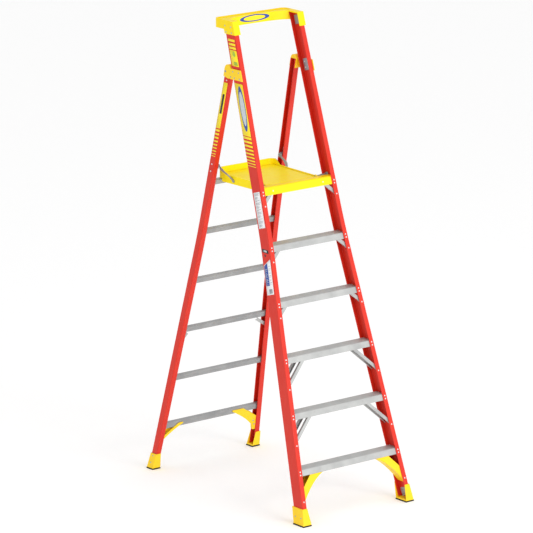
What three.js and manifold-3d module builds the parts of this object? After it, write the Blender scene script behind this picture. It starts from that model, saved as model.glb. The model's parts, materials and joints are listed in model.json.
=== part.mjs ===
// Platform step ladder: a fibreglass A-frame with five steps, a folding deck and a top cap.
// Millimetres. +Z is up, -Y is the climbing side, X runs across the ladder, and the origin
// is on the floor at the middle of the footprint. Each section of the frame is drawn in its
// own leaning frame: x across, y (depth) square to the rails, z (run) along the rails.

import * as THREE from "three";
import { mergeVertices } from "three/addons/utils/BufferGeometryUtils.js";
import Module from "manifold-3d";

const wasm = await Module();
wasm.setup();

// ---------------------------------------------------------------- driving dimensions

const fit = 0.3;                  // clearance between neighbouring pieces
const stepPitch = 304.8;          // step to step, measured along the front rails
const stepCount = 5;
const firstStep = 289.2;          // floor line to the rivets of the lowest step, along the rail
const footprintDepth = 1416;      // front edge of the front feet to back edge of the rear feet

const front = {
  lean: THREE.MathUtils.degToRad(-16.92),   // top leans backwards
  foot: 0.3 - footprintDepth / 2,           // y of the flange face at floor level
  web: 78.1,
  flange: 28.9,
  wall: 5,
  halfFoot: 382.6,                // half the outer width at floor level
  taperLow: 0.0719,               // how fast each side closes in, below the bend
  taperHigh: 0.0238,              // and above it
  bend: 1571,
  top: 2753,                      // front edge of the rail's level-cut end, along the rail
};
const rear = {
  lean: THREE.MathUtils.degToRad(12.86),
  foot: footprintDepth / 2 - 52.4,
  web: 42.2,
  flange: 32.9,
  wall: 5,
  halfFoot: 379.3,
  taperLow: 0.0734,
  taperHigh: 0.0305,
  bend: 1450,
  top: 2438,
};
const bendReach = 150;            // the rails bend over this far on each side of the bend
const rivetInset = 15;            // rivet line in from a rail's outer face
const webRib = 0.9;               // height of the ribs inside a rail's web
const webGap = 2.2;               // from a rail's web to the end of a piece between the rails

const padHeight = 7;
const footHeight = 94.4;
const padFront = { depth: 90, inner: 336, outer: 392 };
const padRear = { depth: 57, inner: 332, outer: 387 };
const railLift = 16;              // rails stop this far above the floor, inside the feet

const stepSkirt = 35;             // height of a step's front and back skirts
const stepWall = 2.6;
const treadRibs = 8;
const ribHeight = 1.1;

const platformWall = 3.5;         // skin of the platform's fixed front member
const deckPivot = { y: -103, z: 1760 };
const deckPinRadius = 4;
const deck = { front: -119, back: 295, floor: 1759, rim: 1764, skirt: 1719, lip: 1792 };
const deckHalf = { front: 182, back: 194 };
const deckWall = 4;
const deckCorner = 30;

const hinge = { depth: 91.2, run: 2471.3 };   // pivot line, in the front section's frame
const hingeLobe = 12.4;
const hingePinRadius = 4;

const capTop = 2642;
const capBottom = 2592;
const capSkirt = 2568.5;
const capBack = 257;
const capArmEnd = 165;            // where the arms meet the cross bar
const capBow = 31;                // how far the middle of the bar sits behind its ends
const capOuter = 248.4;
const capInner = 206;

// ---------------------------------------------------------------- materials

const fibreglass = new THREE.MeshStandardMaterial({ color: 0xd8402c, roughness: 0.45, metalness: 0 });
const plastic = new THREE.MeshStandardMaterial({ color: 0xffd91e, roughness: 0.4, metalness: 0 });
const aluminium = new THREE.MeshStandardMaterial({ color: 0xd2d4d2, roughness: 0.4, metalness: 0.9 });
const steel = new THREE.MeshStandardMaterial({ color: 0x9aa0a3, roughness: 0.35, metalness: 1 });
const rubber = new THREE.MeshStandardMaterial({ color: 0x141414, roughness: 0.85, metalness: 0 });

// ---------------------------------------------------------------- geometry helpers

function mapVertices(geometry, place) {
  const position = geometry.attributes.position;
  for (let i = 0; i < position.count; i += 1) {
    const [x, y, z] = place(position.getX(i), position.getY(i), position.getZ(i));
    position.setXYZ(i, x, y, z);
  }
  return geometry;
}

function extrude(shape, depth, steps = 1, curveSegments = 7) {
  return new THREE.ExtrudeGeometry(shape, { depth, steps, curveSegments, bevelEnabled: false });
}

// An outline drawn as (y, z), drawn out along x.
function alongX(shape, from, to) {
  return mapVertices(extrude(shape, to - from), (x, y, z) => [from + z, x, y]);
}

// An outline drawn as (x, z), drawn out along y.
function alongY(shape, from, to) {
  return mapVertices(extrude(shape, to - from), (x, y, z) => [x, to - z, y]);
}

// An outline drawn as (x, y), drawn out along z.
function alongZ(shape, from, to) {
  return mapVertices(extrude(shape, to - from), (x, y, z) => [x, y, from + z]);
}

function polygon(points) {
  return new THREE.Shape(points.map(([x, y]) => new THREE.Vector2(x, y)));
}

function circle(x, y, radius, sides = 28) {
  const turn = (2 * Math.PI) / sides;
  const corners = Array.from({ length: sides }, (_, i) => i * turn);
  return polygon(corners.map((angle) => [x + radius * Math.cos(angle), y + radius * Math.sin(angle)]));
}

// A six-sided block whose bottom and top are different rectangles { x0, x1, y0, y1, z }.
function block(bottom, top = { ...bottom, z: bottom.z1 }) {
  return mapVertices(new THREE.BoxGeometry(1, 1, 1), (x, y, z) => {
    const end = z < 0 ? bottom : top;
    return [x < 0 ? end.x0 : end.x1, y < 0 ? end.y0 : end.y1, end.z];
  });
}

function toSolid(geometry) {
  const bare = geometry.clone();
  bare.deleteAttribute("normal");
  bare.deleteAttribute("uv");
  const merged = mergeVertices(bare, 1e-3);
  const triVerts = Uint32Array.from(merged.index.array);
  const vertProperties = merged.attributes.position.array;
  return new wasm.Manifold(new wasm.Mesh({ numProp: 3, vertProperties, triVerts }));
}

function toGeometry(solid) {
  const mesh = solid.getMesh();
  const geometry = new THREE.BufferGeometry();
  geometry.setAttribute("position", new THREE.BufferAttribute(mesh.vertProperties, 3));
  geometry.setIndex(new THREE.BufferAttribute(mesh.triVerts, 1));
  return geometry.toNonIndexed();
}

function join(...geometries) {
  return toGeometry(geometries.map(toSolid).reduce((all, next) => all.add(next)));
}

function cut(geometry, ...tools) {
  return toGeometry(tools.map(toSolid).reduce((rest, tool) => rest.subtract(tool), toSolid(geometry)));
}

function common(first, second) {
  return toGeometry(toSolid(first).intersect(toSolid(second)));
}

function mirrored(geometry) {
  const copy = geometry.index ? geometry.toNonIndexed() : geometry.clone();
  const position = copy.attributes.position;
  for (let i = 0; i < position.count; i += 3) {
    const corners = [0, 2, 1].map((k) => new THREE.Vector3().fromBufferAttribute(position, i + k));
    corners.forEach((corner, k) => position.setXYZ(i + k, -corner.x, corner.y, corner.z));
  }
  return copy;
}

// ---------------------------------------------------------------- frame geometry

// Half the outer width of a section, at a distance along its rails.
function halfWidth(rail, run) {
  const low = rail.halfFoot - rail.taperLow * run;
  const turn = rail.taperLow - rail.taperHigh;
  const past = run - (rail.bend - bendReach);
  if (past <= 0) return low;
  if (past < 2 * bendReach) return low + (turn * past * past) / (4 * bendReach);
  return low + turn * (run - rail.bend);
}

// How far out a piece can reach between the rails before it meets a web.
function reachBetween(rail, run) {
  return halfWidth(rail, run) - rail.wall - webGap;
}

// Moves geometry from a section's leaning frame into the ladder's frame.
function stand(rail, geometry) {
  const sin = Math.sin(rail.lean);
  const cos = Math.cos(rail.lean);
  return mapVertices(geometry, (x, y, z) => [x, rail.foot + y * cos - z * sin, y * sin + z * cos]);
}

// The ladder's (y, z) as { depth, run } in a section's frame.
function inSection(rail, y, z) {
  const sin = Math.sin(rail.lean);
  const cos = Math.cos(rail.lean);
  return { depth: (y - rail.foot) * cos + z * sin, run: z * cos - (y - rail.foot) * sin };
}

// How far a level line climbs along a section's rails over a depth.
function levelRise(rail, depth) {
  return -depth * Math.tan(rail.lean);
}

function levelled(rail, geometry) {
  return mapVertices(geometry, (x, y, z) => [x, y, z + levelRise(rail, y)]);
}

// The space that a rail and its channel take up, opened out towards the ladder's middle.
function railSpace(rail, from, to, inner) {
  const margin = { y0: -fit, y1: rail.web + fit, x0: inner };
  const low = { ...margin, z: from, x1: halfWidth(rail, from) + fit };
  const high = { ...margin, z: to, x1: halfWidth(rail, to) + fit };
  return block(low, high);
}

// ---------------------------------------------------------------- rails

// A channel with rounded corners and three shallow stiffening ribs inside its web.
function channelOutline({ web, flange, wall }) {
  const corner = 4;
  const fillet = 3;
  const tip = 1.4;
  const rib = { rise: webRib, half: 2.6, slope: 1 };
  const shape = new THREE.Shape();
  shape.moveTo(corner, 0);
  shape.lineTo(flange - tip, 0);
  shape.lineTo(flange, tip);
  shape.lineTo(flange, wall - tip);
  shape.lineTo(flange - tip, wall);
  shape.lineTo(wall + fillet, wall);
  shape.absarc(wall + fillet, wall + fillet, fillet, -Math.PI / 2, -Math.PI, true);
  for (const share of [0.3, 0.5, 0.7]) {
    const middle = web * share;
    shape.lineTo(wall, middle - rib.half - rib.slope);
    shape.lineTo(wall + rib.rise, middle - rib.half);
    shape.lineTo(wall + rib.rise, middle + rib.half);
    shape.lineTo(wall, middle + rib.half + rib.slope);
  }
  shape.lineTo(wall, web - wall - fillet);
  shape.absarc(wall + fillet, web - wall - fillet, fillet, Math.PI, Math.PI / 2, true);
  shape.lineTo(flange - tip, web - wall);
  shape.lineTo(flange, web - wall + tip);
  shape.lineTo(flange, web - tip);
  shape.lineTo(flange - tip, web);
  shape.lineTo(corner, web);
  shape.absarc(corner, web - corner, corner, Math.PI / 2, Math.PI, false);
  shape.lineTo(0, corner);
  shape.absarc(corner, corner, corner, Math.PI, 1.5 * Math.PI, false);
  return shape;
}

// The left rail: the channel follows the section's tapering width, and its ends are cut level.
function leftRail(rail) {
  const bends = [-1, -0.5, 0, 0.5, 1].map((share) => rail.bend + share * bendReach);
  const stations = [railLift / Math.cos(rail.lean), ...bends, rail.top];
  const last = stations.length - 1;
  const channel = extrude(channelOutline(rail), last, last, 3);
  return mapVertices(channel, (x, y, z) => {
    const station = Math.round(z);
    const slope = station === 0 || station === last ? levelRise(rail, y) : 0;
    const run = stations[station] + slope;
    return [x - halfWidth(rail, run), y, run];
  });
}

// ---------------------------------------------------------------- steps and braces

// A downward-open channel with ribs along its tread.
function stepOutline() {
  const near = front.wall + fit;
  const far = front.web - front.wall - fit;
  const top = stepSkirt / 2;
  const nose = 2.5;
  const pitch = (far - near - 2 * nose) / treadRibs;
  const points = [[near, -top], [near, top - nose], [near + nose, top]];
  for (let i = 0; i < treadRibs; i += 1) {
    const start = near + nose + i * pitch;
    points.push([start + 0.3 * pitch, top], [start + 0.4 * pitch, top - ribHeight]);
    points.push([start + 0.6 * pitch, top - ribHeight], [start + 0.7 * pitch, top]);
  }
  points.push([far - nose, top], [far, top - nose], [far, -top], [far - stepWall, -top]);
  points.push([far - stepWall, top - ribHeight - stepWall]);
  points.push([near + stepWall, top - ribHeight - stepWall], [near + stepWall, -top]);
  return polygon(points);
}

function step(line) {
  const highest = line + stepSkirt / 2 + levelRise(front, front.web);
  const half = reachBetween(front, highest);
  const bar = levelled(front, alongX(stepOutline(), -half, half));
  return bar.translate(0, 0, line);
}

// A diagonal channel from a rail up to the underside of a step, for the ladder's right side.
// Its back is a flat plate, towards the climbing side at the front and away from it at the rear.
function brace({ rail, line, drop, reach, rise, width, near, far, backNear }) {
  const wall = 2;
  const low = { x: halfWidth(rail, line - drop) - rivetInset, z: line - drop + width / 3 };
  const high = { x: low.x - reach, z: line + rise };
  const length = Math.hypot(high.x - low.x, high.z - low.z);
  const along = { x: (high.x - low.x) / length, z: (high.z - low.z) / length };
  const cutAt = reachBetween(rail, line - drop + width + levelRise(rail, rail.web));
  const band = (half, reachEnd, end) => {
    const side = (sign, point, distance) => [
      point.x + along.x * distance + sign * half * along.z,
      point.z + along.z * distance - sign * half * along.x,
    ];
    const toCut = (sign) => (end - low.x - sign * half * along.z) / along.x;
    return polygon([
      side(1, low, toCut(1)),
      side(1, high, reachEnd),
      side(-1, high, reachEnd),
      side(-1, low, toCut(-1)),
    ]);
  };
  const body = alongY(band(width / 2, 0, cutAt), near, far);
  const hollow = band(width / 2 - wall, 5, cutAt + 5);
  const pocket = backNear ? alongY(hollow, near + wall, far + 1) : alongY(hollow, near - 1, far - wall);
  return levelled(rail, cut(body, pocket));
}

function stepBrace(line, long, atFront, skin = stepWall) {
  const sizes = long
    ? { drop: 148.4, reach: 152.5, rise: 6.5, width: 17 }
    : { drop: 69, reach: 76, rise: 6, width: 19 };
  const near = front.wall + skin + 2 * fit;
  const depth = 13;
  const place = atFront
    ? { near, far: near + depth }
    : { near: front.web - near - depth, far: front.web - near };
  return brace({ rail: front, line, ...sizes, ...place, backNear: atFront });
}

// Arched moulding between the lowest step and the rail: a channel open towards the corner.
function stepGusset() {
  const wall = 3.4;
  const top = firstStep - stepSkirt / 2 - 2 * fit;
  const webAt = (run) => reachBetween(front, run + levelRise(front, front.web));
  const toe = 105;
  const heel = 186;
  const outline = (shift) => {
    const shape = new THREE.Shape();
    shape.moveTo(190 + shift, top + shift);
    shape.lineTo(278 + shift, top + shift);
    shape.lineTo(webAt(heel) + shift, heel + shift);
    shape.lineTo(webAt(toe) + shift, toe + shift);
    shape.quadraticCurveTo(280 + shift, 232 + shift, 190 + shift, top + shift);
    return shape;
  };
  const near = front.wall + fit;
  const far = front.web - front.wall - fit;
  const body = alongY(outline(0), near, far);
  return levelled(front, cut(body, alongY(outline(wall), near + wall, far - wall)));
}

// ---------------------------------------------------------------- rear section

const barHeight = { low: 36, others: 31 };
const barLevel = (index) => 260 + 291.5 * index;
const barNear = 9.6;
const barFar = 33.4;

// Where a level crosses the middle of the rear rails, along the rails.
function rearRun(level) {
  const middle = (barNear + barFar) / 2;
  return (level - middle * Math.sin(rear.lean)) / Math.cos(rear.lean);
}

// A closed, flattened tube with three long grooves in its front face, open at its ends.
function rearBar(run, height) {
  const wall = 2;
  const corner = 3;
  const groove = 0.8;
  const half = height / 2;
  const faces = [-0.5, 0, 0.5].flatMap((share) => [
    [barNear, half * share - 2.2],
    [barNear + groove, half * share - 1.4],
    [barNear + groove, half * share + 1.4],
    [barNear, half * share + 2.2],
  ]);
  const outline = polygon([
    [barNear, corner - half], ...faces, [barNear, half - corner], [barNear + corner, half],
    [barFar - corner, half], [barFar, half - corner],
    [barFar, corner - half], [barFar - corner, -half], [barNear + corner, -half],
  ]);
  const inside = 3.2;
  outline.holes.push(new THREE.Path([
    new THREE.Vector2(barNear + inside, wall - half), new THREE.Vector2(barFar - wall, wall - half),
    new THREE.Vector2(barFar - wall, half - wall), new THREE.Vector2(barNear + inside, half - wall),
  ]));
  const reach = reachBetween(rear, run + half);
  return alongX(outline, -reach, reach).translate(0, 0, run);
}

// Moulded gusset that clasps the lowest rear bar between two cheeks. With a broad front, its
// front cheek is wider and has a shallow recessed panel.
function rearGusset(broadFront) {
  const wall = 3.2;
  const barRun = rearRun(barLevel(0));
  const webAt = (run) => reachBetween(rear, run);
  const cheek = ({ tip, top, toe, heel, leg, arch }, shift = 0) => {
    const shape = new THREE.Shape();
    shape.moveTo(tip + shift, 268 + shift);
    shape.lineTo(top + shift, 268 + shift);
    shape.lineTo(webAt(heel) + shift, heel + shift);
    shape.lineTo(webAt(toe) + shift, toe + shift);
    shape.lineTo(webAt(toe) - leg + shift, toe + 4 + shift);
    shape.lineTo(webAt(toe) - leg - 7 + shift, toe + leg * 0.8 + shift);
    shape.quadraticCurveTo(arch[0] + shift, arch[1] + shift, tip + shift, 261 + shift);
    return shape;
  };
  const wide = { tip: 150, top: 228, toe: 111, heel: 186, leg: 44, arch: [255, 206] };
  const narrow = { tip: 206, top: 236, toe: 162, heel: 184, leg: 12, arch: [271, 232] };
  const near = rear.wall + fit;
  const far = rear.web - rear.wall - fit;
  const middle = (near + far) / 2;
  const front = cheek(broadFront ? wide : narrow);
  const body = join(alongY(front, near, middle), alongY(cheek(narrow), middle - 1, far));
  const pocket = alongY(cheek(narrow, wall), near + wall, far - wall);
  const half = barHeight.low / 2 + fit;
  const depths = { y0: barNear - fit, y1: barFar + fit };
  const barSpace = { x0: 100, x1: 400, ...depths, z: barRun - half, z1: barRun + 40 };
  const panel = polygon([[229, 250], [318, 190], [331, 175], [322, 153], [300, 174], [262, 208], [222, 236]]);
  const recess = broadFront ? [alongY(panel, near - 1, near + 1.4)] : [];
  return cut(body, pocket, block(barSpace), ...recess);
}

function rearBrace(reach) {
  const line = rearRun(barLevel(2)) - 30;
  const sizes = { drop: 45, reach, rise: 9, width: 17 };
  return brace({ rail: rear, line, ...sizes, near: barNear + 2, far: barNear + 14, backNear: true });
}

// ---------------------------------------------------------------- feet

// A flared shoe around a rail's end, open towards the ladder's middle.
function footShoe(rail, pad, y0, y1) {
  const halfTop = halfWidth(rail, footHeight);
  const edge = (depth) => rail.foot + depth / Math.cos(rail.lean) - footHeight * Math.tan(rail.lean);
  const bottom = { x0: pad.inner, x1: pad.outer, y0, y1, z: padHeight };
  const skin = 4.5;
  const top = { x0: halfTop - 30, x1: halfTop + skin, y0: edge(-skin), y1: edge(rail.web + skin), z: footHeight };
  const space = stand(rail, railSpace(rail, -60, 220, 200));
  const above = block({ x0: 200, x1: 500, y0: -900, y1: 900, z: railLift - fit, z1: 300 });
  return cut(block(bottom, top), common(space, above));
}

// A rubber sole with grooves across its underside.
function footPad(pad, y0, y1) {
  const grooves = 5;
  const depth = 2.5;
  const pitch = (y1 - y0) / grooves;
  const points = [[y0, padHeight - fit], [y0, 0]];
  for (let i = 1; i < grooves; i += 1) {
    const middle = y0 + i * pitch;
    points.push([middle - 2.5, 0], [middle - 1.5, depth], [middle + 1.5, depth], [middle + 2.5, 0]);
  }
  points.push([y1, 0], [y1, padHeight - fit]);
  return alongX(polygon(points), pad.inner - 1, pad.outer + 1);
}

// ---------------------------------------------------------------- top cap

// Plan of the cap: a wide U with a bowed bar, open towards the climbing side.
function capOutline(inset, frontEdge) {
  const outer = capOuter - inset;
  const inner = capInner + inset;
  const back = capBack - inset;
  const round = 34 - inset;
  const armEnd = capArmEnd + inset;
  const middle = armEnd + capBow;
  const shape = new THREE.Shape();
  shape.moveTo(-outer, frontEdge);
  shape.lineTo(-inner, frontEdge);
  shape.lineTo(-inner, armEnd);
  shape.bezierCurveTo(40 - inner, middle - 4, -90, middle, 0, middle);
  shape.bezierCurveTo(90, middle, inner - 40, middle - 4, inner, armEnd);
  shape.lineTo(inner, frontEdge);
  shape.lineTo(outer, frontEdge);
  shape.lineTo(outer, back - round);
  shape.absarc(outer - round, back - round, round, 0, Math.PI / 2, false);
  shape.lineTo(round - outer, back);
  shape.absarc(round - outer, back - round, round, Math.PI / 2, Math.PI, false);
  return shape;
}

function topCap() {
  const skin = 5;
  const faceAt = (depth, level) => front.foot + depth / Math.cos(front.lean) - level * Math.tan(front.lean);
  const arm = (side) => {
    const x = side < 0 ? { x0: -capOuter, x1: -capInner } : { x0: capInner, x1: capOuter };
    const low = { ...x, y0: faceAt(-skin, capSkirt), y1: faceAt(front.web + 2.5, capSkirt), z: capSkirt };
    const high = { ...x, y0: faceAt(-skin, capTop), y1: faceAt(front.web + 2.5, capTop), z: capTop };
    return block(low, high);
  };
  const plan = alongZ(capOutline(0, 127), capBottom, capTop);
  const underside = alongZ(capOutline(5, 182), capBottom - 1, capTop - 11);
  const tray = alongZ(capOutline(9, 186), capTop - 5, capTop + 1);
  const behindRails = (level) => ({
    x0: 12 - capOuter, x1: capOuter - 12, y0: faceAt(front.web - 2, level), y1: capBack, z: level,
  });
  const gap = block(behindRails(capSkirt - 1), behindRails(capBottom));
  const space = levelled(front, railSpace(front, front.top - 300, front.top + fit, capInner - 2));
  const spaces = [space, mirrored(space)].map((side) => stand(front, side));
  return cut(join(plan, arm(-1), arm(1)), underside, tray, gap, ...spaces);
}

// ---------------------------------------------------------------- platform

// Fixed front member of the platform: a step with a deep front lip.
function platformFrontStep() {
  const line = firstStep + stepCount * stepPitch;
  const near = front.wall + fit;
  const far = 47;
  const wall = platformWall;
  const nose = 5;
  const outline = polygon([
    [near, -15], [near, 30 - nose], [near + nose, 30], [far, 30], [far, -6],
    [far - wall, -6], [far - wall, 30 - wall], [near + wall, 30 - wall], [near + wall, -15],
  ]);
  const half = reachBetween(front, line + 30 + levelRise(front, far));
  return levelled(front, alongX(outline, -half, half)).translate(0, 0, line);
}

// Folding deck: a shallow tray with a raised back lip, skirts and ribs underneath.
function foldingDeck() {
  const halfAt = (y) => {
    const share = (y - deck.front) / (deck.back - deck.front);
    return deckHalf.front + share * (deckHalf.back - deckHalf.front);
  };
  const plan = (inset, y0, y1, corner) => {
    const near = halfAt(y0) - inset;
    const far = halfAt(y1 - corner) - inset;
    const shape = new THREE.Shape();
    shape.moveTo(-near, y0);
    shape.lineTo(near, y0);
    shape.lineTo(far, y1 - corner);
    shape.absarc(far - corner, y1 - corner, corner, 0, Math.PI / 2, false);
    shape.lineTo(corner - far, y1);
    shape.absarc(corner - far, y1 - corner, corner, Math.PI / 2, Math.PI, false);
    return shape;
  };
  const restLevel = 1736;
  const skirtEnd = deck.back - 37;
  const tray = alongZ(plan(0, deck.front, deck.back, deckCorner), restLevel, deck.rim);
  const skirt = alongZ(plan(0, deck.front + 22, skirtEnd, 4), deck.skirt, restLevel + 1);
  const lip = alongZ(plan(0, deck.back - 80, deck.back, deckCorner), deck.rim - 1, deck.lip);
  const lipSlope = polygon([
    [deck.back - 90, deck.rim], [deck.back - 76, deck.rim],
    [deck.back - 34, deck.lip + 1], [deck.back - 90, deck.lip + 1],
  ]);
  const ears = [-1, 1].map((sign) => {
    const outer = sign * (deckHalf.front - 0.6);
    const inner = sign * (deckHalf.front - 13);
    return alongX(circle(deckPivot.y, deckPivot.z, 8.5), Math.min(outer, inner), Math.max(outer, inner));
  });
  const well = alongZ(plan(8, deck.front - 5, deck.back - 7, deckCorner - 7), deck.floor, deck.lip + 1);
  const under = [-1, 0, 1].map((bay) => {
    const length = (skirtEnd - deck.front - 30) / 3;
    const y0 = deck.front + 6 + (bay + 1) * (length + 4);
    return alongZ(plan(deckWall, y0, y0 + length, 3), deck.skirt - 1, deck.floor - deckWall);
  });
  const pinHoles = alongX(circle(deckPivot.y, deckPivot.z, deckPinRadius + fit), -200, 200);
  const shell = cut(join(tray, skirt, lip, ...ears), well, alongX(lipSlope, -200, 200));
  return cut(shell, ...under, pinHoles);
}

// Plate on the rail's web with a boss that carries the deck's pivot pin.
function pivotBracket() {
  const { depth, run } = inSection(front, deckPivot.y, deckPivot.z);
  const web = reachBetween(front, run + 22);
  const plate = block({ x0: web - 3, x1: web, y0: depth - 17, y1: depth + 6, z: run - 18, z1: run + 12 });
  const boss = alongX(circle(depth, run, 6.4), 214, web - 2);
  return cut(join(plate, boss), alongX(circle(depth, run, deckPinRadius + fit), 190, web - 6));
}

function pivotPin() {
  const { depth, run } = inSection(front, deckPivot.y, deckPivot.z);
  const end = reachBetween(front, run) - 7;
  return alongX(circle(depth, run, deckPinRadius), deckHalf.front - 11, end);
}

// ---------------------------------------------------------------- deck latches

const latchPin = { y: 257, z: 1809, radius: 4 };     // on the rear rail's bracket
const latchRoot = { y: 155, z: 1737 };               // riveted to the deck's side
const latchKnee = { y: 189, z: 1772 };
const latchHalf = 6.5;
const latchWall = 3.5;
const latchInner = { root: 190.9, hook: 214 };
const mouth = THREE.MathUtils.degToRad(-115);        // the hook lifts off its pin this way

// A bar in the (y, z) plane from one point to another.
function strap(from, to, half) {
  const length = Math.hypot(to.y - from.y, to.z - from.z);
  const across = { y: (-half * (to.z - from.z)) / length, z: (half * (to.y - from.y)) / length };
  return polygon([
    [from.y - across.y, from.z - across.z], [to.y - across.y, to.z - across.z],
    [to.y + across.y, to.z + across.z], [from.y + across.y, from.z + across.z],
  ]);
}

// A cranked flat bar on the deck's side, whose far end hooks over a pin on the rear rail.
// It steps outwards between its root and its knee.
function latch() {
  const shapes = [
    circle(latchRoot.y, latchRoot.z, latchHalf + 2),
    strap(latchRoot, latchKnee, latchHalf),
    circle(latchKnee.y, latchKnee.z, latchHalf),
    strap(latchKnee, latchPin, latchHalf),
    circle(latchPin.y, latchPin.z, latchPin.radius + 8.5),
  ];
  const blank = join(...shapes.map((shape) => alongX(shape, 150, 260)));
  const crank = { from: latchRoot.z + 9, to: latchKnee.z + 12 };
  const shift = 1;
  const ribbon = polygon([
    [latchInner.root, 1650], [latchInner.root + latchWall, 1650],
    [latchInner.root + latchWall, crank.from - shift], [latchInner.hook + latchWall, crank.to - shift],
    [latchInner.hook + latchWall, 1900], [latchInner.hook, 1900],
    [latchInner.hook, crank.to], [latchInner.root, crank.from],
  ]);
  const bar = common(blank, alongY(ribbon, latchRoot.y - 50, latchPin.y + 50));
  const slotHalf = latchPin.radius + 0.6;
  const exit = { y: latchPin.y + 40 * Math.cos(mouth), z: latchPin.z + 40 * Math.sin(mouth) };
  const eye = alongX(circle(latchPin.y, latchPin.z, slotHalf), 150, 260);
  return cut(bar, eye, alongX(strap(latchPin, exit, slotHalf), 150, 260));
}

// Stepped plate inside the rear rail, with the pin that the latch hooks over.
function latchBracket() {
  const { depth, run } = inSection(rear, latchPin.y, latchPin.z);
  const web = reachBetween(rear, run + 40);
  const ear = latchInner.hook + latchWall + 2.5;
  const plate = block({ x0: web - 3, x1: web, y0: 8, y1: 32, z: run - 30, z1: run + 38 });
  const arm = block({ x0: ear, x1: web - 1, y0: 18, y1: 21, z: run - 12, z1: run + 14 });
  const tab = block({ x0: ear, x1: ear + 3, y0: depth - 9, y1: 20, z: run - 12, z1: run + 14 });
  const pin = alongX(circle(depth, run, latchPin.radius), latchInner.hook - 3, ear + 1);
  return join(plate, arm, tab, pin);
}

// ---------------------------------------------------------------- frame hinges

// Plate on the outside of the front rail, level top and bottom, with a lobe at the pivot.
function hingePlate() {
  const inner = halfWidth(front, hinge.run - 40) + fit;
  const outer = inner + 4;
  const { depth, run } = hinge;
  const shape = polygon([[-3, 2431], [depth, 2431], [depth, 2462], [74, 2492.5], [-3, 2492.5]]);
  const plate = levelled(front, alongX(shape, inner, outer));
  const lobe = alongX(circle(depth, run, hingeLobe), inner, outer);
  return cut(join(plate, lobe), alongX(circle(depth, run, hingePinRadius + fit), inner - 1, outer + 1));
}

// Cap over the top of the rear rail, with a cheek that reaches forward to the pivot.
function hingeCap() {
  const at = fromFrontToRear(hinge);
  const outer = halfWidth(front, hinge.run) - 0.6;
  const cheekInner = outer - 3.6;
  const shape = new THREE.Shape();
  shape.moveTo(46, at.run - 21);
  shape.lineTo(46, at.run + 22);
  shape.quadraticCurveTo(44, at.run + 54, 16, at.run + 55);
  shape.quadraticCurveTo(0, at.run + 55, at.depth - 8, at.run + 10);
  shape.absarc(at.depth, at.run, hingeLobe, 2.2, 4.9, false);
  shape.lineTo(4, at.run - 21);
  const rim = alongX(shape, outer - 34, outer);
  const space = levelled(rear, railSpace(rear, 2200, rear.top + fit, 100));
  const ahead = block({ x0: 100, x1: cheekInner, y0: -80, y1: -4.2, z: 2300, z1: 2500 });
  const hole = alongX(circle(at.depth, at.run, hingePinRadius + fit), 100, 300);
  return cut(rim, space, ahead, hole);
}

function fromFrontToRear(point) {
  const sin = Math.sin(front.lean);
  const cos = Math.cos(front.lean);
  const y = front.foot + point.depth * cos - point.run * sin;
  const z = point.depth * sin + point.run * cos;
  return inSection(rear, y, z);
}

function hingePin() {
  const outer = halfWidth(front, hinge.run - 40) + fit + 5.5;
  return alongX(circle(hinge.depth, hinge.run, hingePinRadius), outer - 13, outer);
}

// ---------------------------------------------------------------- assembly

const ladder = new THREE.Group();
const frontSection = new THREE.Group();
const rearSection = new THREE.Group();
frontSection.position.set(0, front.foot, 0);
frontSection.rotation.x = front.lean;
rearSection.position.set(0, rear.foot, 0);
rearSection.rotation.x = rear.lean;
ladder.add(frontSection, rearSection);

function add(group, name, geometry, material) {
  const mesh = new THREE.Mesh(geometry, material);
  mesh.name = name;
  group.add(mesh);
}

// Adds a piece of the right side and its mirror image.
function addPair(group, name, geometry, material) {
  add(group, `${name}_right`, geometry, material);
  add(group, `${name}_left`, mirrored(geometry), material);
}

addPair(frontSection, "front_rail", mirrored(leftRail(front)), fibreglass);
addPair(rearSection, "rear_rail", mirrored(leftRail(rear)), fibreglass);

for (let i = 0; i < stepCount; i += 1) {
  const line = firstStep + i * stepPitch;
  const number = i + 1;
  add(frontSection, `step_${number}`, step(line), aluminium);
  if (number === 2 || number === 3) {
    addPair(frontSection, `step_${number}_front_brace`, stepBrace(line, true, true), aluminium);
    addPair(frontSection, `step_${number}_rear_brace`, stepBrace(line, true, false), aluminium);
  }
  if (number > 3) addPair(frontSection, `step_${number}_brace`, stepBrace(line, false, true), aluminium);
}
addPair(frontSection, "step_1_gusset", stepGusset(), plastic);

const platformLine = firstStep + stepCount * stepPitch;
add(frontSection, "platform_front_step", platformFrontStep(), plastic);
addPair(frontSection, "platform_brace", stepBrace(platformLine, false, true, platformWall), aluminium);
addPair(frontSection, "deck_pivot_bracket", pivotBracket(), steel);
addPair(frontSection, "deck_pivot_pin", pivotPin(), steel);
add(ladder, "folding_deck", foldingDeck(), plastic);
addPair(ladder, "deck_latch", latch(), steel);
addPair(rearSection, "latch_bracket", latchBracket(), steel);

for (let i = 0; i <= stepCount; i += 1) {
  const name = i < stepCount ? `rear_bar_${i + 1}` : "platform_rear_bar";
  add(rearSection, name, rearBar(rearRun(barLevel(i)), i === 0 ? barHeight.low : barHeight.others), aluminium);
}
add(rearSection, "rear_gusset_right", rearGusset(true), plastic);
add(rearSection, "rear_gusset_left", mirrored(rearGusset(false)), plastic);
add(rearSection, "rear_bar_3_brace_right", rearBrace(76), aluminium);
add(rearSection, "rear_bar_3_brace_left", mirrored(rearBrace(42)), aluminium);

addPair(frontSection, "hinge_plate", hingePlate(), plastic);
addPair(rearSection, "hinge_cap", hingeCap(), plastic);
addPair(frontSection, "hinge_pin", hingePin(), steel);
add(ladder, "top_cap", topCap(), plastic);

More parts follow.
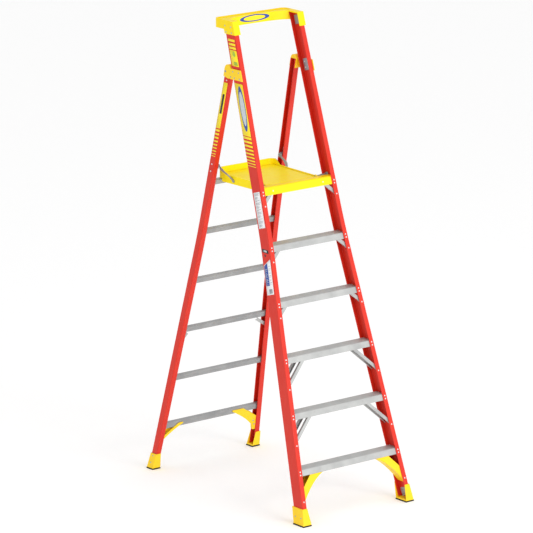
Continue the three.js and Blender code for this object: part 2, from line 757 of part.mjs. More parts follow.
const frontEdge = -footprintDepth / 2;
const backEdge = footprintDepth / 2;
addPair(ladder, "front_foot", footShoe(front, padFront, frontEdge + 1, frontEdge + padFront.depth - 1), plastic);
addPair(ladder, "front_pad", footPad(padFront, frontEdge, frontEdge + padFront.depth), rubber);
addPair(ladder, "rear_foot", footShoe(rear, padRear, backEdge - padRear.depth + 1, backEdge - 1), plastic);
addPair(ladder, "rear_pad", footPad(padRear, backEdge - padRear.depth, backEdge), rubber);

export default ladder;
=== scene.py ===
import bpy
import bmesh
import json
import math
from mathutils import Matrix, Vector
from mathutils.bvhtree import BVHTree


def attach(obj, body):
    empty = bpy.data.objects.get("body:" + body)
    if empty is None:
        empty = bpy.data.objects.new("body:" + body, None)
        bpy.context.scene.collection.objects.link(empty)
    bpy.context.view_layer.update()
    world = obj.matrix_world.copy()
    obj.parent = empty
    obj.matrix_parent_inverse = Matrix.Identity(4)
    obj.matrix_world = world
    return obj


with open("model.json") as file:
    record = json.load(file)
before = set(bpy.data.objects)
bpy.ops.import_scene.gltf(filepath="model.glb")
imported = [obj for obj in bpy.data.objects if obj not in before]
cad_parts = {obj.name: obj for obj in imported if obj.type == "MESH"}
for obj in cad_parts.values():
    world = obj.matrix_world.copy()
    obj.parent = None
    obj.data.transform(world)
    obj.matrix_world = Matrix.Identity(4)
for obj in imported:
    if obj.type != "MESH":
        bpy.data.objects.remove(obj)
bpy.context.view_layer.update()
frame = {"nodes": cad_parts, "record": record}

# The platform step ladder's looks, in metres. +Z is up, -Y is the climbing side and X runs
# across the ladder. "left" and "right" are as seen by someone climbing it.

SIDES = {"left": -1, "right": 1}
OUTSIDE = 0.6          # across, clear of both rails
AHEAD = 0.1            # clear of a section's front or back


# ------------------------------------------------------------------ the two leaning sections
class Section:
    """One pair of rails: places a point given across (x), into (depth) and along (run) them.

    lean is in degrees, foot is where the rails' front edge meets the floor, web is the rails'
    depth and half_foot is half their outer width there. The width shrinks by taper_low for each
    metre up to the bend and by taper_high above it."""

    BEND_REACH = 0.15

    def __init__(self, lean, foot, web, half_foot, taper_low, taper_high, bend):
        self.sin = math.sin(math.radians(lean))
        self.cos = math.cos(math.radians(lean))
        self.foot = foot
        self.web = web
        self.half_foot = half_foot
        self.taper_low = taper_low
        self.taper_high = taper_high
        self.bend = bend

    def half(self, run):
        """Half the outer width across the rails."""
        reach = self.BEND_REACH
        turn = self.taper_low - self.taper_high
        past = run - (self.bend - reach)
        width = self.half_foot - self.taper_low * run
        if past <= 0:
            return width
        if past < 2 * reach:
            return width + turn * past * past / (4 * reach)
        return width + turn * (run - self.bend)

    def point(self, x, depth, run):
        """The place in the ladder's own frame."""
        y = self.foot + depth * self.cos - run * self.sin
        return Vector((x, y, depth * self.sin + run * self.cos))

    def locate(self, y, level):
        """(run, depth) of a place given by the ladder's own y and its level."""
        y -= self.foot
        return (level * self.cos - y * self.sin, y * self.cos + level * self.sin)

    def run_at(self, level, depth):
        """The run at which a line at this depth passes a level above the floor."""
        return (level - depth * self.sin) / self.cos

    def forward(self):
        """The direction square to the rails, from the climbing side."""
        return Vector((0, self.cos, self.sin))


FRONT = Section(lean=-16.92, foot=-0.7077, web=0.0781, half_foot=0.3826,
                taper_low=0.0719, taper_high=0.0238, bend=1.571)
REAR = Section(lean=12.86, foot=0.6556, web=0.0422, half_foot=0.3793,
               taper_low=0.0734, taper_high=0.0305, bend=1.450)
FIRST_STEP = 0.2892    # run midway between the lowest step's rivets
STEP_PITCH = 0.3048
FIRST_BAR = 0.260      # level of the lowest rear bar
BAR_PITCH = 0.2915


# ------------------------------------------------------------------ materials
def colour(r, g, b):
    """An sRGB colour, 0 to 255, as linear RGBA."""
    def linear(v):
        v /= 255
        return v / 12.92 if v <= 0.04045 else ((v + 0.055) / 1.055) ** 2.4
    return (linear(r), linear(g), linear(b), 1.0)


class Nodes:
    """A material's node tree, with short names for the textures used here."""

    def __init__(self, name):
        self.mat = bpy.data.materials.new(name)
        self.mat.use_nodes = True
        self.tree = self.mat.node_tree
        self.shader = self.tree.nodes["Principled BSDF"]
        self.coords = self.tree.nodes.new("ShaderNodeTexCoord").outputs["Object"]

    def plug(self, socket, value):
        if isinstance(value, bpy.types.NodeSocket):
            self.tree.links.new(value, socket)
        else:
            socket.default_value = value

    def noise(self, scale, detail=3.0, stretch=(1, 1, 1)):
        mapping = self.tree.nodes.new("ShaderNodeMapping")
        self.plug(mapping.inputs["Vector"], self.coords)
        self.plug(mapping.inputs["Scale"], stretch)
        made = self.tree.nodes.new("ShaderNodeTexNoise")
        self.plug(made.inputs["Vector"], mapping.outputs["Vector"])
        self.plug(made.inputs["Scale"], scale)
        self.plug(made.inputs["Detail"], detail)
        return made.outputs["Fac"]

    def spread(self, factor, low, high, start=0.3, end=0.7):
        """The factor's middle range, stretched to run from low to high."""
        made = self.tree.nodes.new("ShaderNodeMapRange")
        self.plug(made.inputs["Value"], factor)
        for name, value in (("From Min", start), ("From Max", end), ("To Min", low), ("To Max", high)):
            self.plug(made.inputs[name], value)
        return made.outputs["Result"]

    def mix(self, factor, a, b):
        factor_socket, a_socket, b_socket, result_socket = 0, 6, 7, 2
        made = self.tree.nodes.new("ShaderNodeMix")
        made.data_type = "RGBA"
        self.plug(made.inputs[factor_socket], factor)
        self.plug(made.inputs[a_socket], a)
        self.plug(made.inputs[b_socket], b)
        return made.outputs[result_socket]

    def bump(self, height, strength, distance):
        made = self.tree.nodes.new("ShaderNodeBump")
        self.plug(made.inputs["Height"], height)
        self.plug(made.inputs["Strength"], strength)
        self.plug(made.inputs["Distance"], distance)
        return made.outputs["Normal"]

    def finish(self, base, roughness, normal=None, metallic=0.0, specular=0.5):
        self.plug(self.shader.inputs["Base Color"], base)
        self.plug(self.shader.inputs["Roughness"], roughness)
        self.plug(self.shader.inputs["Metallic"], metallic)
        self.plug(self.shader.inputs["Specular IOR Level"], specular)
        if normal is not None:
            self.plug(self.shader.inputs["Normal"], normal)
        return self.mat


def fibreglass():
    """Red pultruded fibreglass: fine fibres along the rails, faint cloudiness and scuffs."""
    n = Nodes("fibreglass")
    fibres = n.noise(700, 3, (1, 1, 0.02))
    clouds = n.noise(7, 3)
    scuffs = n.noise(60, 6, (1, 1, 0.3))
    base = n.mix(n.spread(clouds, 0, 1), colour(213, 37, 14), colour(220, 44, 18))
    base = n.mix(n.spread(fibres, 0, 0.4), base, colour(196, 30, 12))
    base = n.mix(n.spread(scuffs, 0, 0.25, 0.62, 0.8), base, colour(226, 96, 70))
    rough = n.spread(scuffs, 0.36, 0.56)
    return n.finish(base, rough, n.bump(fibres, 0.25, 0.0004), specular=0.4)


def yellow_plastic(name, dark, light, specular):
    """Moulded yellow plastic: a fine grain, faint clouds and dull rubbed patches."""
    n = Nodes(name)
    grain = n.noise(1500, 3)
    clouds = n.noise(11, 3)
    rubs = n.noise(45, 5)
    base = n.mix(n.spread(clouds, 0, 1), dark, light)
    base = n.mix(n.spread(rubs, 0, 0.25, 0.6, 0.8), base, colour(226, 184, 30))
    return n.finish(base, n.spread(rubs, 0.36, 0.52), n.bump(grain, 0.3, 0.0003), specular=specular)


def metal(name, dark, light, shine):
    """Drawn metal: lines along x, and patches that are a little duller."""
    n = Nodes(name)
    lines = n.noise(420, 3, (0.02, 1, 1))
    patches = n.noise(13, 4)
    base = n.mix(n.spread(patches, 0, 1), dark, light)
    base = n.mix(n.spread(lines, 0, 0.25), base, dark)
    rough = n.spread(patches, 0.34, 0.52)
    return n.finish(base, rough, n.bump(lines, 0.3, 0.0003), metallic=shine)


def rubber():
    """Black rubber with a grain and a little dust."""
    n = Nodes("rubber")
    grain = n.noise(1300, 4)
    dust = n.noise(35, 4)
    base = n.mix(n.spread(dust, 0, 1), colour(10, 10, 11), colour(24, 23, 23))
    return n.finish(base, n.spread(dust, 0.7, 0.9), n.bump(grain, 0.5, 0.0005))


def film(name, dark, light):
    """Printed vinyl film with a slight orange-peel surface."""
    n = Nodes(name)
    peel = n.noise(500, 2)
    wear = n.noise(70, 5)
    base = n.mix(n.spread(wear, 0, 1), dark, light)
    return n.finish(base, n.spread(wear, 0.3, 0.45), n.bump(peel, 0.15, 0.0003))


SLOTS = {
    "fibreglass": fibreglass(),
    "yellow_plastic": yellow_plastic("yellow_plastic", colour(249, 206, 18), colour(253, 213, 26), 0.35),
    "aluminium": metal("aluminium", colour(168, 169, 168), colour(186, 187, 185), 0.35),
    "steel": metal("steel", colour(142, 144, 147), colour(166, 168, 170), 0.35),
    "rubber": rubber(),
}
# Aluminium of the rear bars, darker than the other aluminium: painted shade for bars that stand in
# shade.
SHADED_REAR_BAR_ALUMINIUM = metal("rear_bar_aluminium", colour(146, 147, 148), colour(164, 165, 165), 0.3)
CAP_PLASTIC = yellow_plastic("cap_plastic", colour(251, 218, 14), colour(255, 225, 22), 0.2)
FINISHES = {
    "folding_deck": yellow_plastic("deck_plastic", colour(254, 229, 10), colour(255, 236, 18), 0.2),
    "top_cap": CAP_PLASTIC,
    "platform_front_step": CAP_PLASTIC,
    # The rear bars take the darker aluminium, which is painted shade.
    **{"rear_bar_%d" % number: SHADED_REAR_BAR_ALUMINIUM for number in range(1, 6)},
}
RIVET = metal("rivet_aluminium", colour(205, 206, 206), colour(232, 232, 231), 0.3)
DULL_RIVET = metal("dull_rivet", colour(150, 154, 160), colour(188, 192, 197), 0.35)
BACKING = metal("backing_plate_steel", colour(140, 144, 150), colour(172, 176, 181), 0.5)
YELLOW_FILM = film("yellow_film", colour(250, 224, 6), colour(254, 230, 12))
BLUE_FILM = film("blue_film", colour(28, 66, 150), colour(36, 78, 168))
PALE_FILM = film("pale_film", colour(186, 196, 200), colour(204, 212, 215))
WHITE_FILM = film("white_film", colour(228, 230, 232), colour(238, 239, 240))
BLACK_FILM = film("black_film", colour(18, 18, 20), colour(34, 34, 36))
GREEN_FILM = film("green_film", colour(150, 186, 40), colour(166, 198, 52))
GREY_FILM = film("grey_film", colour(140, 145, 151), colour(160, 165, 170))
# A dark yellow film: painted shade, for the shadow line at the foot of the deck's rim.
SHADOW_LINE_FILM = film("deck_seam", colour(176, 138, 20), colour(192, 152, 26))


# Radius of the edges of the mouldings; every other piece has the least rounding.
LEAST_ROUNDING = 0.0005
ROUNDING = {"top_cap": 0.003, "hinge_cap": 0.002, "hinge_plate": 0.0012, "front_foot": 0.002,
            "rear_foot": 0.002, "folding_deck": 0.0015, "platform_front_step": 0.002,
            "step_1_gusset": 0.0012, "rear_gusset": 0.0012, "deck_latch": 0.001}
WELD_REACH = 0.00002             # points closer than this are one
FLAT_ANGLE = math.radians(0.3)   # facets that meet more flatly than this are one face
EDGE_ANGLE = math.radians(35)    # edges sharper than this are rounded


def dress(row):
    """Gives a CAD piece its finish and rounds off its sharp edges."""
    node = frame["nodes"][row["node"]]
    node.data.materials.clear()
    node.data.materials.append(FINISHES.get(row["node"], SLOTS[row["material_slot"]]))
    weld = node.modifiers.new("weld", "WELD")
    weld.merge_threshold = WELD_REACH
    flatten = node.modifiers.new("flatten", "DECIMATE")
    flatten.decimate_type = "DISSOLVE"
    flatten.angle_limit = FLAT_ANGLE
    bevel = node.modifiers.new("rounding", "BEVEL")
    pair_name = row["node"].replace("_left", "").replace("_right", "")
    bevel.width = ROUNDING.get(pair_name, LEAST_ROUNDING)
    bevel.segments = 2
    bevel.limit_method = "ANGLE"
    bevel.angle_limit = EDGE_ANGLE
    for face in node.data.polygons:
        face.use_smooth = True
    normals = node.modifiers.new("normals", "WEIGHTED_NORMAL")
    normals.keep_sharp = True


# ------------------------------------------------------------------ small pieces
def add_piece(name, bm, body, material, smooth=True):
    """Turns a finished mesh into a piece that rides on a CAD body."""
    bmesh.ops.recalc_face_normals(bm, faces=bm.faces)
    mesh = bpy.data.meshes.new(name)
    bm.to_mesh(mesh)
    bm.free()
    mesh.materials.append(material)
    for face in mesh.polygons:
        face.use_smooth = smooth
    piece = bpy.data.objects.new(name, mesh)
    bpy.context.scene.collection.objects.link(piece)
    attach(piece, body)
    return piece


TREES = {}             # ray-cast trees of the CAD pieces struck so far


def strike(name, origin, direction):
    """Where a ray meets a CAD piece, and the surface's normal there."""
    if name not in TREES:
        node = frame["nodes"][name]
        corners = [node.matrix_world @ v.co for v in node.data.vertices]
        TREES[name] = BVHTree.FromPolygons(corners, [f.vertices for f in node.data.polygons])
    spot, normal, _, _ = TREES[name].ray_cast(origin, direction)
    if spot is None:
        raise ValueError("no surface of " + name + " on this line")
    return spot, normal


# Profile of a rivet head from its middle out, as shares of its radius: (from the axis, height).
RIVET_HEAD = [(0.0, 0.40), (0.28, 0.40), (0.36, 0.46), (0.62, 0.40),
              (0.84, 0.26), (0.97, 0.08), (1.0, -0.12)]
RIVET_RADIUS = 0.0045


def add_head(bm, spot, normal, radius, sides=20):
    """A domed rivet head with a small dimple, sunk a little into its surface."""
    turn = normal.to_track_quat("Z", "Y").to_matrix()
    rings = []
    for share, height in RIVET_HEAD[1:]:
        angles = [2 * math.pi * i / sides for i in range(sides)]
        ring = [Vector((math.cos(a) * share, math.sin(a) * share, height)) * radius for a in angles]
        rings.append([bm.verts.new(spot + turn @ p) for p in ring])
    centre = bm.verts.new(spot + turn @ Vector((0, 0, RIVET_HEAD[0][1] * radius)))
    for i in range(sides):
        j = (i + 1) % sides
        bm.faces.new((centre, rings[0][i], rings[0][j]))
        for inner, outer in zip(rings, rings[1:]):
            bm.faces.new((inner[i], outer[i], outer[j], inner[j]))
    bm.faces.new(list(reversed(rings[-1])))


def rivets(name, body, spots, radius=RIVET_RADIUS, material=RIVET):
    """One piece with a head on each spot."""
    bm = bmesh.new()
    for spot, normal in spots:
        add_head(bm, spot, normal, radius)
    return add_piece(name, bm, body, material)


FLANGE_INSET = 0.015   # from a rail's outer face to the rivets in its flanges


def flange_spots(section, rail, runs, backwards=False):
    """Spots down the flange of both rails, on the climbing side or on the far side."""
    found = []
    direction = section.forward() * (-1 if backwards else 1)
    for side_name, side in SIDES.items():
        for run in runs:
            depth = section.web + AHEAD if backwards else -AHEAD
            level_run = section.run_at(run * section.cos, section.web) if backwards else run
            origin = section.point(side * (section.half(run) - FLANGE_INSET), depth, level_run)
            found.append(strike(rail + "_" + side_name, origin, direction))
    return found


def outer_spots(section, node, places):
    """Spots on the outer side of a piece on both rails, from (run, depth) pairs."""
    found = []
    for side_name, side in SIDES.items():
        for run, depth in places:
            origin = section.point(side * OUTSIDE, depth, run)
            found.append(strike(node + "_" + side_name, origin, Vector((-side, 0, 0))))
    return found


def front_spots(node, x, run):
    """The two spots on the front of a front section's step, left and right of its middle."""
    return [strike(node, FRONT.point(side * x, -AHEAD, run), FRONT.forward())
            for side in SIDES.values()]


def inner_spots(section, places):
    """Bolt ends on the backing plates inside both rails, from (run, depth) pairs."""
    found = []
    for side in SIDES.values():
        for run, depth in places:
            spot = section.point(side * (section.half(run) - PLATE_FACE), depth, run)
            found.append((spot, Vector((-side, 0, 0))))
    return found


# How far a film lies above its piece: on the piece, on another film, on a second film.
LIFT = 0.00012
SECOND_LIFT = 0.0003
THIRD_LIFT = 0.0005
FILM_THICKNESS = 0.0002


def sheet(name, body, patches, cast, material, lift=LIFT, columns=1):
    """Thin film in one or more patches. A patch is rows of (start, end) points on the flat;
    cast finds where each lands on the piece below."""
    bm = bmesh.new()
    for rows in patches:
        grid = []
        for start, end in rows:
            line = []
            for i in range(columns + 1):
                share = i / columns
                flat = [a + (b - a) * share for a, b in zip(start, end)]
                spot, normal = cast(*flat)
                line.append(bm.verts.new(spot + normal * lift))
            grid.append(line)
        for low, high in zip(grid, grid[1:]):
            for i in range(columns):
                bm.faces.new((low[i], low[i + 1], high[i + 1], high[i]))
    piece = add_piece(name, bm, body, material)
    thick = piece.modifiers.new("thickness", "SOLIDIFY")
    thick.thickness = FILM_THICKNESS
    thick.offset = 0
    return piece


def on_web(section, node, side):
    """A caster for the outer face of a rail's web, from (run, depth)."""
    def cast(run, depth):
        return strike(node, section.point(side * OUTSIDE, depth, run), Vector((-side, 0, 0)))
    return cast


def quad(high_back, high_front, low_back, low_front, steps=1):
    """Rows of a four-cornered patch, each corner (run, depth)."""
    rows = []
    for i in range(steps + 1):
        share = i / steps
        start = [a + (b - a) * share for a, b in zip(high_back, low_back)]
        end = [a + (b - a) * share for a, b in zip(high_front, low_front)]
        rows.append((start, end))
    return rows


def level_band(section, high, low, back, front):
    """A patch across a web whose top and bottom edges are level."""
    corners = [(section.run_at(level, depth), depth) for level in (high, low) for depth in (back, front)]
    return quad(*corners)


def oval_rows(steps):
    """(across, along) on a circle of radius 1 for each row, stopping just short of its ends."""
    angles = [math.pi * (0.01 + 0.98 * i / steps) for i in range(steps + 1)]
    return [(math.sin(angle), math.cos(angle)) for angle in angles]


def oval(section, high, low, middle, half, steps=28):
    """An upright oval patch on a web, between two levels and round a middle depth."""
    rows = []
    for across, along in oval_rows(steps):
        level = (high + low) / 2 + (high - low) / 2 * along
        ends = (middle + half * across, middle - half * across)
        rows.append(tuple((section.run_at(level, depth), depth) for depth in ends))
    return rows


def print_lines(high, low, back, front, pitch, lengths):
    """Short plain lines across a label, in place of its small print. lengths are shares of
    the label's width, used in turn; 0 leaves a gap."""
    patches = []
    run = high
    index = 0
    while run > low:
        end = back - lengths[index % len(lengths)] * (back - front)
        foot = run - 0.4 * pitch
        if end != back:
            patches.append(quad((run, back), (run, end), (foot, back), (foot, end)))
        run -= pitch
        index += 1
    return patches


# A backing plate's two faces, set in from the rail's outer face.
PLATE_FACE = 0.0085
PLATE_BACK = 0.0058


def plate(name, body, section, side, runs, depths):
    """A flat plate lying against a rail's web, inside the rail."""
    bm = bmesh.new()
    corners = {}
    for i, run in enumerate(runs):
        for j, depth in enumerate(depths):
            for k, inset in enumerate((PLATE_FACE, PLATE_BACK)):
                spot = section.point(side * (section.half(run) - inset), depth, run)
                corners[i, j, k] = bm.verts.new(spot)
    for fixed in range(3):
        for value in (0, 1):
            order = []
            for a, b in ((0, 0), (0, 1), (1, 1), (1, 0)):
                key = [a, b]
                key.insert(fixed, value)
                order.append(corners[tuple(key)])
            bm.faces.new(order)
    piece = add_piece(name, bm, body, BACKING, smooth=False)
    rounding = piece.modifiers.new("rounding", "BEVEL")
    rounding.width = 0.0006
    rounding.segments = 2
    return piece


# ------------------------------------------------------------------ rivets
def rail_rivet_runs():
    """Rivet lines up the front rails: one for the gusset, two for each step and the platform,
    and one for the foot of each brace."""
    gusset_rivet = 0.1355
    step_rivets = 0.0085
    long_brace_drop = 0.1534
    short_brace_drop = 0.069
    runs = [gusset_rivet]
    for index in range(6):
        line = FIRST_STEP + STEP_PITCH * index
        runs += [line - step_rivets, line + step_rivets]
        if index in (1, 2):
            runs.append(line - long_brace_drop)
        if index >= 3:
            runs.append(line - short_brace_drop)
    return runs


def front_section_rivets():
    body = "front_section"
    runs = rail_rivet_runs()
    rivets("front_flange_rivets", body, flange_spots(FRONT, "front_rail", runs))
    spots = flange_spots(FRONT, "front_rail", runs, backwards=True)
    rivets("back_flange_rivets", body, spots)
    boot = outer_spots(FRONT, "front_foot", [(0.0669, 0.0605), (0.0522, 0.0155)])
    rivets("front_boot_rivets", body, boot, material=DULL_RIVET)
    upper = [FRONT.locate(y, 2.369) for y in (0.07995, 0.03095)]
    lower = [FRONT.locate(y, 2.336) for y in (0.06645, 0.02265)]
    hinge = outer_spots(FRONT, "hinge_plate", upper + lower)
    rivets("hinge_plate_rivets", body, hinge, material=DULL_RIVET)
    cap = []
    for side in SIDES.values():
        for run, depth in ((2.7504, 0.0656), (2.7340, 0.0173), (2.7153, 0.0657), (2.7016, 0.0207)):
            origin = FRONT.point(side * OUTSIDE, depth, run)
            cap.append(strike("top_cap", origin, Vector((-side, 0, 0))))
    rivets("top_cap_rivets", body, cap, material=DULL_RIVET)
    rivets("platform_lip_rivets", body, front_spots("platform_front_step", 0.175, 1.821))
    faces = front_spots("step_1", 0.2015, 0.2995)
    faces += front_spots("step_2", 0.171, 0.600)
    faces += front_spots("step_3", 0.146, 0.9075)
    rivets("step_face_rivets", body, faces, 0.0036, SLOTS["aluminium"])


def rear_section_rivets():
    body = "rear_section"
    boot = outer_spots(REAR, "rear_foot", [(0.0783, 0.0224), (0.0339, 0.0268)])
    rivets("rear_boot_rivets", body, boot, material=DULL_RIVET)
    web = [(1.8678, 0.020), (1.8247, 0.020), (2.3659, 0.0169)]
    rivets("rear_web_rivets", body, outer_spots(REAR, "rear_rail", web))
    cap = outer_spots(REAR, "hinge_cap", [(2.413, 0.035)])
    rivets("hinge_cap_bolts", body, cap, 0.0065, BACKING)
    bar_depth = 0.0215
    bar_rivets = 0.007
    runs = []
    for index in range(5):
        middle = REAR.run_at(FIRST_BAR + BAR_PITCH * index, bar_depth)
        runs += [middle - bar_rivets, middle + bar_rivets]
    spots = flange_spots(REAR, "rear_rail", runs, backwards=True)
    rivets("rear_back_rivets", body, spots)
    gusset = []
    for x, run in ((0.316, 0.173), (0.325, 0.149)):
        gusset.append(strike("rear_gusset_right", REAR.point(x, -AHEAD, run), REAR.forward()))
    rivets("rear_gusset_bolts", body, gusset, 0.0052, BACKING)


front_section_rivets()
rear_section_rivets()


# ------------------------------------------------------------------ stickers
def stripes(section, top, thick, back, front):
    """Level stripes that get thinner and closer together downwards."""
    count = 9
    pitch = 0.0212
    thin = 0.0035
    closing = 0.45
    level = top
    patches = []
    for i in range(count):
        share = i / (count - 1)
        half = (thick + (thin - thick) * share) / 2
        patches.append(level_band(section, level + half, level - half, back, front))
        level -= pitch * (1 - closing * share * share)
    return patches


def front_sticker(name, patches, material, lift=LIFT, columns=1):
    """A film on the outer face of the left front rail."""
    cast = on_web(FRONT, "front_rail_left", -1)
    sheet(name, "front_section", patches, cast, material, lift, columns)


def upper_rail_stickers():
    """From the top cap down to the platform."""
    height = 0.0125
    tops = (2.5435, 2.522, 2.503)
    bars = [level_band(FRONT, top, top - height, 0.0665, 0.0115) for top in tops]
    front_sticker("top_stripes", bars, YELLOW_FILM)
    front_sticker("upper_label", [level_band(FRONT, 2.485, 2.400, 0.068, 0.010)], YELLOW_FILM)
    marks = [oval(FRONT, 2.479, 2.450, 0.036, 0.011), level_band(FRONT, 2.424, 2.406, 0.048, 0.018)]
    front_sticker("upper_label_marks", marks, GREEN_FILM, SECOND_LIFT, 8)
    front_sticker("long_label", [level_band(FRONT, 2.309, 2.034, 0.073, 0.006)], YELLOW_FILM)
    rim = oval(FRONT, 2.297, 2.058, 0.0365, 0.0235)
    front_sticker("long_label_rim", [rim], BLUE_FILM, SECOND_LIFT, 10)
    middle = oval(FRONT, 2.268, 2.087, 0.0365, 0.0185)
    front_sticker("long_label_oval", [middle], PALE_FILM, THIRD_LIFT, 10)
    front_sticker("rail_stripes", stripes(FRONT, 2.0235, 0.0125, 0.0745, 0.006), YELLOW_FILM)


def white_label():
    """The label below the platform."""
    area = quad((1.829, 0.067), (1.829, 0.012), (1.631, 0.067), (1.631, 0.012), 10)
    front_sticker("white_label", [area], WHITE_FILM)
    lengths = (1, 0.8, 0.9, 0, 0.6, 0.7, 0.5, 0, 0.9, 0.4, 0)
    lines = print_lines(1.822, 1.640, 0.061, 0.018, 0.0046, lengths)
    front_sticker("white_label_lines", lines, GREY_FILM, SECOND_LIFT)


def black_label():
    """The small dark plate and the dot below it."""
    front_sticker("black_label", [level_band(FRONT, 1.438, 1.4195, 0.069, 0.016)], BLACK_FILM)
    mark = level_band(FRONT, 1.4335, 1.424, 0.056, 0.029)
    front_sticker("black_label_mark", [mark], PALE_FILM, SECOND_LIFT)
    front_sticker("black_dot", [oval(FRONT, 1.4105, 1.3985, 0.048, 0.0065)], BLACK_FILM, columns=6)


def tall_label():
    """The lowest label: a blue half with pale lines, a white half and a grey square."""
    area = quad((1.4305, 0.0715), (1.4590, 0.010), (1.2685, 0.0735), (1.2685, 0.0125), 8)
    front_sticker("tall_label", [area], WHITE_FILM)
    blue = quad((1.427, 0.069), (1.442, 0.040), (1.318, 0.071), (1.318, 0.040), 8)
    front_sticker("tall_label_blue", [blue], BLUE_FILM, SECOND_LIFT)
    lines = print_lines(1.410, 1.325, 0.064, 0.044, 0.0060, (0.9, 0.5, 0.8, 0, 0.6))
    front_sticker("tall_label_pale_lines", lines, PALE_FILM, THIRD_LIFT)
    lines = print_lines(1.425, 1.322, 0.033, 0.018, 0.0075, (0.8, 0, 1, 0.5, 0))
    square = quad((1.299, 0.050), (1.299, 0.022), (1.275, 0.050), (1.275, 0.022))
    front_sticker("tall_label_marks", lines + [square], GREY_FILM, SECOND_LIFT)


def rear_rail_stickers():
    """Films on the outer face of the left rear rail."""
    cast = on_web(REAR, "rear_rail_left", -1)
    body = "rear_section"
    label = level_band(REAR, 2.296, 2.034, 0.038, 0.003)
    sheet("rear_label", body, [label], cast, YELLOW_FILM)
    mark = level_band(REAR, 2.230, 2.118, 0.029, 0.012)
    sheet("rear_label_mark", body, [mark], cast, BLACK_FILM, SECOND_LIFT)
    sheet("rear_stripes", body, stripes(REAR, 2.021, 0.0115, 0.038, 0.003), cast, YELLOW_FILM)


def cap_badge():
    """A plain oval badge on the climbing side of the top cap's bar."""
    middle_x = -0.012
    middle_level = 2.621
    fineness = 24

    def cast(x, level):
        return strike("top_cap", Vector((x, -0.3, level)), Vector((0, 1, 0)))

    def rows(half, height):
        made = []
        for across, along in oval_rows(fineness):
            level = middle_level + height * along
            made.append(((middle_x - half * across, level), (middle_x + half * across, level)))
        return made

    body = "front_section"
    sheet("cap_badge_rim", body, [rows(0.104, 0.0195)], cast, BLUE_FILM, LIFT, fineness)
    sheet("cap_badge_oval", body, [rows(0.076, 0.0130)], cast, YELLOW_FILM, SECOND_LIFT, fineness)


def deck_seam():
    """A dark film round the deck's floor, at the foot of its rim and back lip: a painted shadow line
    where the rim shades the floor.
    """
    deck_front, deck_back = -0.119, 0.295
    half_at_front, half_at_back = 0.182, 0.194
    rim, corner, width = 0.0105, 0.022, 0.0022
    front, back = deck_front + 0.011, deck_back - rim
    corner_steps = 8

    def half(y):
        """Half the floor's width inside the rim."""
        share = (y - deck_front) / (deck_back - deck_front)
        return half_at_front + (half_at_back - half_at_front) * share - rim

    path = [(-half(front), front)]
    for i in range(corner_steps + 1):
        angle = math.pi - i * math.pi / (2 * corner_steps)
        x = corner * (1 + math.cos(angle)) - half(deck_back - 0.008)
        path.append((x, back + corner * (math.sin(angle) - 1)))
    path += [(-x, y) for x, y in reversed(path)]
    rows = []
    for i, (x, y) in enumerate(path):
        before = Vector(path[max(i - 1, 0)])
        after = Vector(path[min(i + 1, len(path) - 1)])
        along = (after - before).normalized()
        across = Vector((-along.y, along.x)) * width / 2
        rows.append(((x + across.x, y + across.y), (x - across.x, y - across.y)))

    def cast(x, y):
        return strike("folding_deck", Vector((x, y, 1.9)), Vector((0, 0, -1)))

    # The strip is painted shade along the foot of the rim, not a groove in the moulding.
    sheet("deck_floor_seam", "deck", [rows], cast, SHADOW_LINE_FILM)


upper_rail_stickers()
white_label()
black_label()
tall_label()
rear_rail_stickers()
cap_badge()
deck_seam()


# ------------------------------------------------------------------ backing plates
# Each plate's name, section, runs and depths.
PLATES = [
    ("hinge_backing_", "front_section", (2.441, 2.507), (0.014, 0.066)),
    ("cap_backing_", "front_section", (2.700, 2.752), (0.026, 0.066)),
    ("rear_backing_", "rear_section", (2.335, 2.395), (0.010, 0.032)),
    ("front_boot_backing_", "front_section", (0.036, 0.084), (0.012, 0.066)),
    ("rear_boot_backing_", "rear_section", (0.026, 0.086), (0.012, 0.032)),
]
SECTIONS = {"front_section": FRONT, "rear_section": REAR}


def backing_plates():
    for side_name, side in SIDES.items():
        for name, body, runs, depths in PLATES:
            plate(name + side_name, body, SECTIONS[body], side, runs, depths)


def backing_bolts():
    """The ends of the bolts and rivets that hold the mouldings, on the plates inside the rails."""
    front, rear = "front_section", "rear_section"
    spots = inner_spots(FRONT, [(0.0669, 0.0555), (0.0522, 0.0205)])
    rivets("front_boot_bolts", front, spots, 0.006, BACKING)
    spots = inner_spots(REAR, [(0.0763, 0.0224), (0.0379, 0.0224)])
    rivets("rear_boot_bolts", rear, spots, 0.006, BACKING)
    spots = inner_spots(FRONT, [(run, depth) for run in (2.458, 2.490) for depth in (0.026, 0.054)])
    rivets("hinge_backing_bolts", front, spots)
    spots = inner_spots(REAR, [(2.350, 0.021), (2.380, 0.021)])
    rivets("rear_backing_bolts", rear, spots)


backing_plates()
backing_bolts()
for row in frame["record"]["subparts"]:
    dress(row)


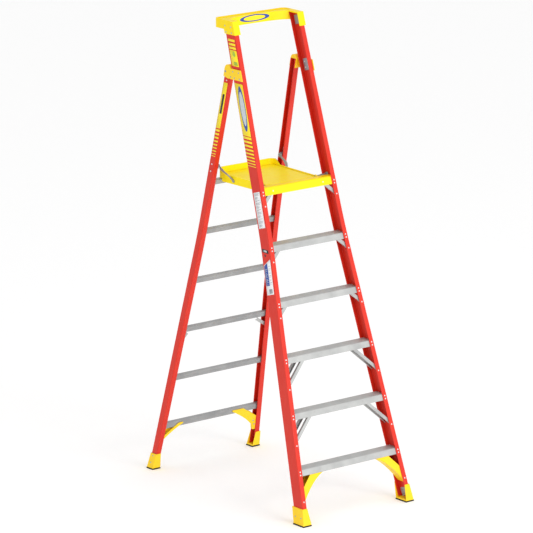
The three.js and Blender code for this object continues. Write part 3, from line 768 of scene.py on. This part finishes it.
# ------------------------------------------------------------------ studio
def studio_world():
    """A white world, a little brighter to the camera than as a light on the ladder."""
    light = 0.92
    backdrop = 1.12
    world = bpy.data.worlds.new("studio")
    bpy.context.scene.world = world
    world.use_nodes = True
    tree = world.node_tree
    background = tree.nodes["Background"]
    background.inputs["Color"].default_value = (1, 1, 1, 1)
    light_path = tree.nodes.new("ShaderNodeLightPath")
    strength = tree.nodes.new("ShaderNodeMapRange")
    strength.inputs["To Min"].default_value = light
    strength.inputs["To Max"].default_value = backdrop
    tree.links.new(light_path.outputs["Is Camera Ray"], strength.inputs["Value"])
    tree.links.new(strength.outputs["Result"], background.inputs["Strength"])


def studio_floor():
    """A plain pale floor with a faint glow, which hides where it ends."""
    reach = 60
    glow = 0.07
    bm = bmesh.new()
    corners = [(-reach, -reach), (reach, -reach), (reach, reach), (-reach, reach)]
    bm.faces.new([bm.verts.new((x, y, 0)) for x, y in corners])
    mesh = bpy.data.meshes.new("floor")
    bm.to_mesh(mesh)
    bm.free()
    floor = bpy.data.objects.new("floor", mesh)
    bpy.context.scene.collection.objects.link(floor)
    n = Nodes("floor")
    n.plug(n.shader.inputs["Emission Color"], (1, 1, 1, 1))
    n.plug(n.shader.inputs["Emission Strength"], glow)
    mesh.materials.append(n.finish((0.97, 0.97, 0.97, 1), 0.9, specular=0.2))


def key_light():
    """One large softbox on the climbing side."""
    where = Vector((0.6, -7.8, 3.0))
    towards = Vector((0, 0, 1.2))
    data = bpy.data.lights.new("key", "AREA")
    data.shape = "RECTANGLE"
    data.size = 4.0
    data.size_y = 4.0
    data.energy = 290
    lamp = bpy.data.objects.new("key", data)
    lamp.location = where
    lamp.rotation_mode = "QUATERNION"
    lamp.rotation_quaternion = (towards - where).to_track_quat("-Z", "Y")
    bpy.context.scene.collection.objects.link(lamp)


def camera():
    """Looks at the ladder from the climbing side's left, far away and a little from above."""
    target = Vector((-0.0635, 0.02475, 1.2603))
    back = Vector((-0.6051, -0.7572, 0.2460)).normalized()
    distance = 22.415
    data = bpy.data.cameras.new("camera")
    data.lens = 274.8
    data.sensor_width = 36
    data.clip_end = 200
    cam = bpy.data.objects.new("camera", data)
    cam.location = target + back * distance
    cam.rotation_mode = "QUATERNION"
    cam.rotation_quaternion = (-back).to_track_quat("-Z", "Y")
    bpy.context.scene.collection.objects.link(cam)
    bpy.context.scene.camera = cam


studio_world()
studio_floor()
key_light()
camera()
bpy.context.scene.view_settings.view_transform = "Standard"
